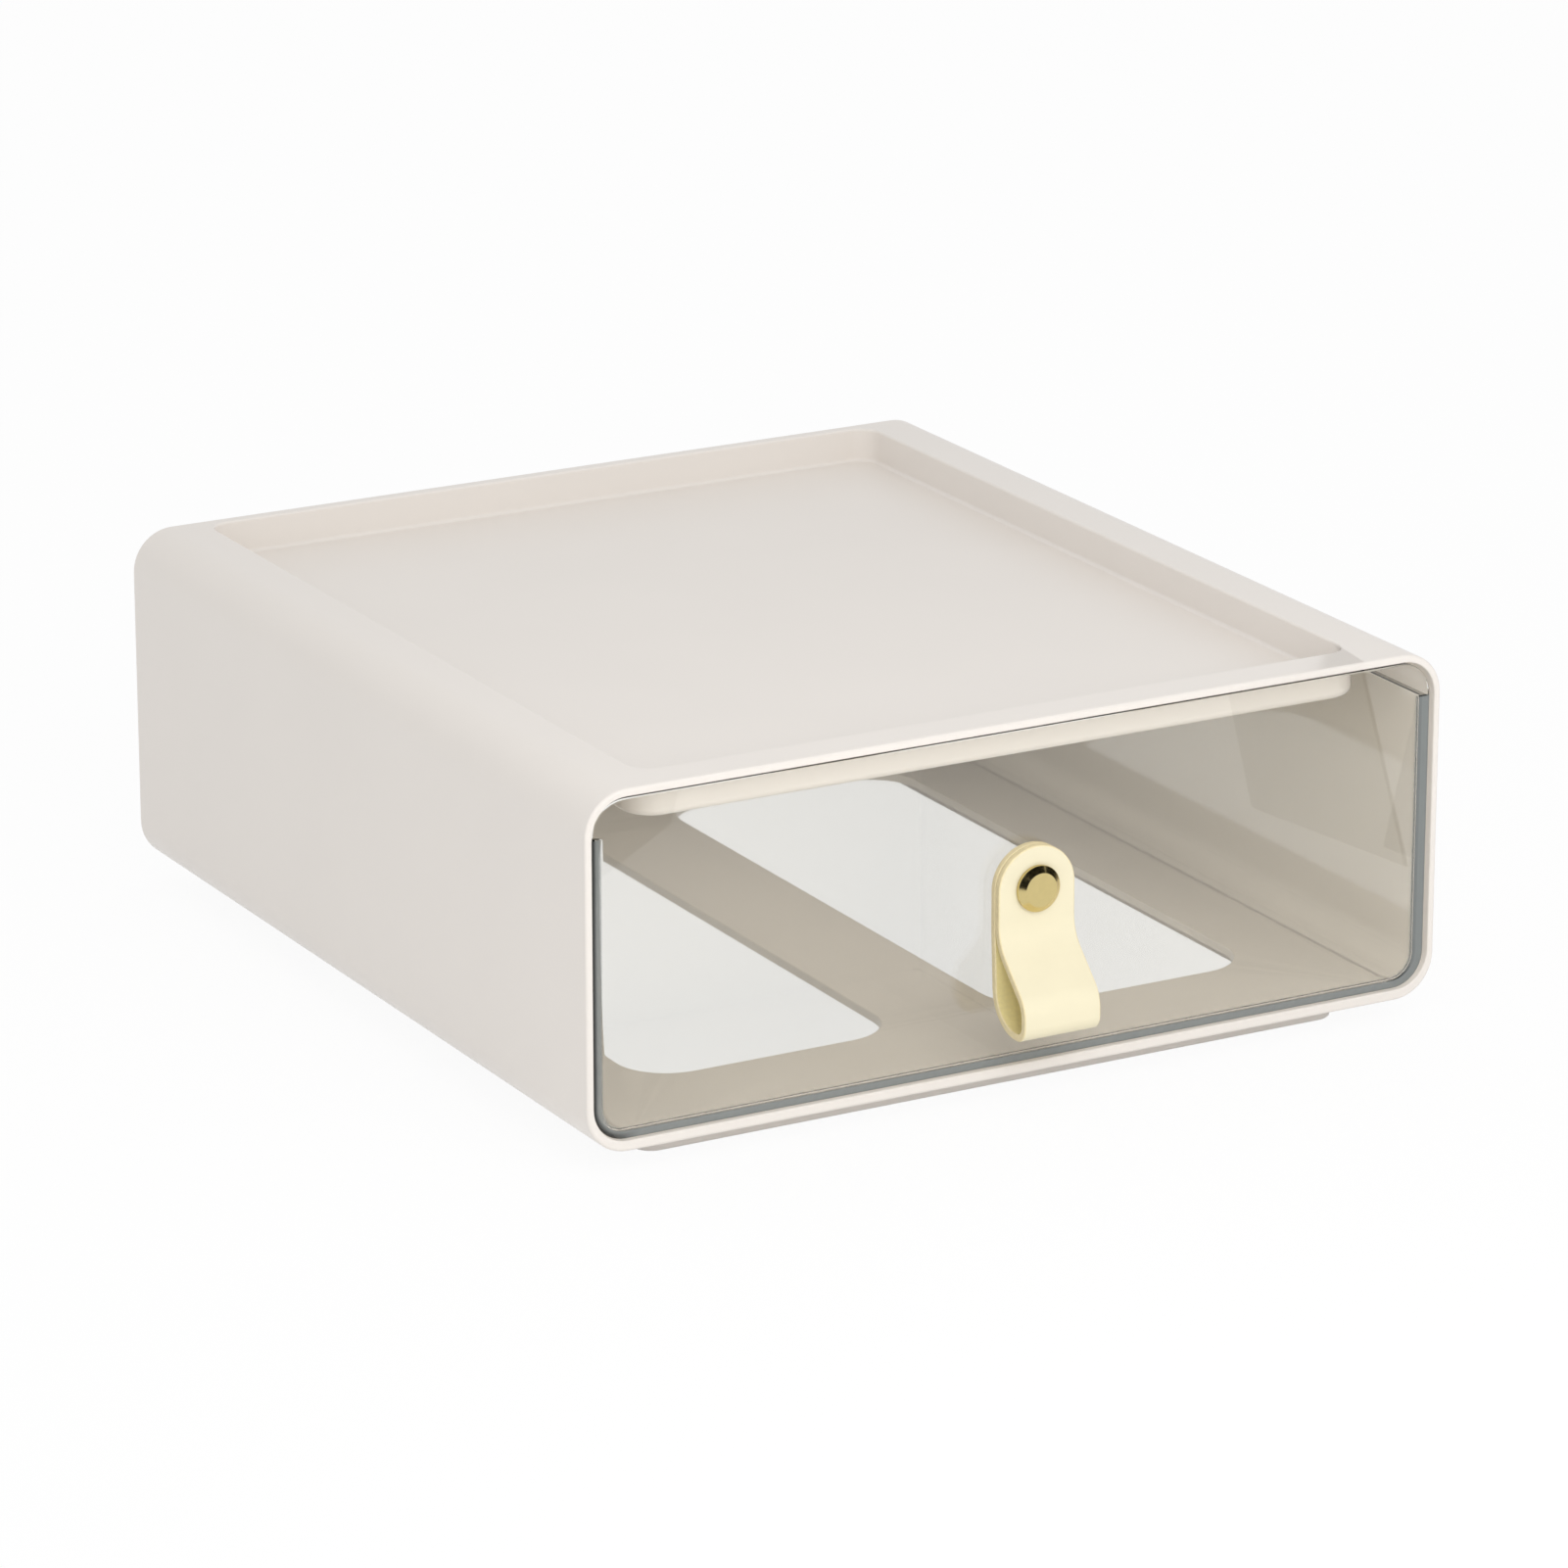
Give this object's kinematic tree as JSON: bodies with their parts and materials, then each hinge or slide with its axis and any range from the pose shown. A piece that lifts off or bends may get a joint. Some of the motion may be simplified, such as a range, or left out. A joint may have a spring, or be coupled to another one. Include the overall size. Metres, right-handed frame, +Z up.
{
  "type": "stackable drawer box",
  "caption": "Moulded drawer box with a clear sliding bin, a leather strap pull, a tray recessed into the top and a foot ring that nests in the tray of a box below.",
  "frame": {"origin": "centre of the part's footprint, the strap's loop included, on the surface that the box stands on", "axes": "+Z up; the drawer opens towards -Y; +X to the right seen from the front"},
  "size_m": [0.26, 0.2924, 0.105],
  "materials": {
    "casing_plastic": "satin, warm off-white",
    "clear_plastic": "clear, polished",
    "strap_leather": "smooth coated leather, pale cream yellow",
    "stud_brass": "satin brass plating",
    "screw_steel": "zinc plated",
    "washer_plastic": "natural nylon"
  },
  "bodies": {
    "casing": {"casing": "casing_plastic"},
    "drawer": {"drawer_bin": "clear_plastic", "stud_head": "stud_brass", "stud_screw": "screw_steel", "stud_washer": "washer_plastic"},
    "pull": {"pull_strap": "strap_leather"}
  },
  "joints": [
    {"name": "drawer_slide", "type": "slide", "parent": "casing", "child": "drawer", "axis": [0, -1, 0], "range_m": [0, 0.21]},
    {"name": "strap_swivel", "type": "hinge", "parent": "drawer", "child": "pull", "pos_m": [0.002, -0.1324, 0.0595], "axis": [0, -1, 0], "range_deg": [-90, 90]}
  ]
}
